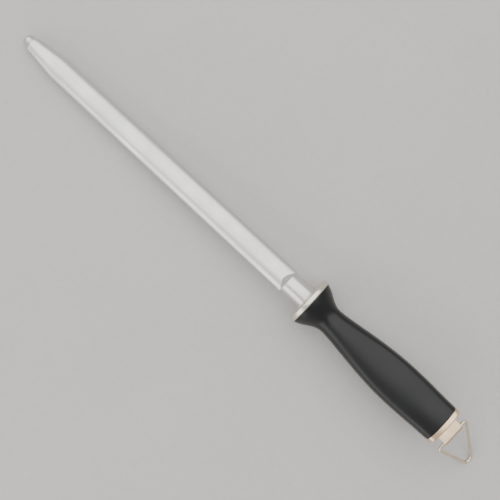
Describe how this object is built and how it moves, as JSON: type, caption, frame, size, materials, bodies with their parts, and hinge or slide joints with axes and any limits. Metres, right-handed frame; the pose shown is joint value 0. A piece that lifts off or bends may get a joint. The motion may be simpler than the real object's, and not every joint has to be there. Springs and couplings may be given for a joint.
{
  "type": "knife sharpening steel",
  "caption": "Long oval honing rod with a bare rounded tip, round hand guard, waisted moulded handle, and a wire hanging ring in a folded strap on the end cap.",
  "frame": {"origin": "centre of the hand guard's front face, on the rod's axis", "axes": "+X along the rod's axis from the guard towards the hanging ring, +Z square to the rod's flats, +Y across them"},
  "size_m": [0.4722, 0.0384, 0.0473],
  "materials": {
    "rod_steel": "fine lengthwise grooves, satin chrome, bare polished tip",
    "bright_plated_steel": "bright plated sheet and turned steel, lightly handled",
    "moulded_handle": "black moulded plastic, soft satin gloss",
    "zinc_plated_steel": "zinc plated",
    "ring_wire": "drawn wire, bright plated"
  },
  "bodies": {
    "steel": {"steel_rod": "rod_steel", "hand_guard": "bright_plated_steel", "handle_grip": "moulded_handle", "tang_washer": "zinc_plated_steel", "tang_nut": "zinc_plated_steel", "end_cap": "bright_plated_steel", "cap_screws": "bright_plated_steel", "ring_strap": "bright_plated_steel"},
    "ring": {"hanging_ring": "ring_wire"}
  },
  "joints": [
    {"name": "ring_swing", "type": "hinge", "parent": "steel", "child": "ring", "pos_m": [0.14152, 0, 0], "axis": [0, 1, 0], "range_deg": [-165, 83]}
  ]
}
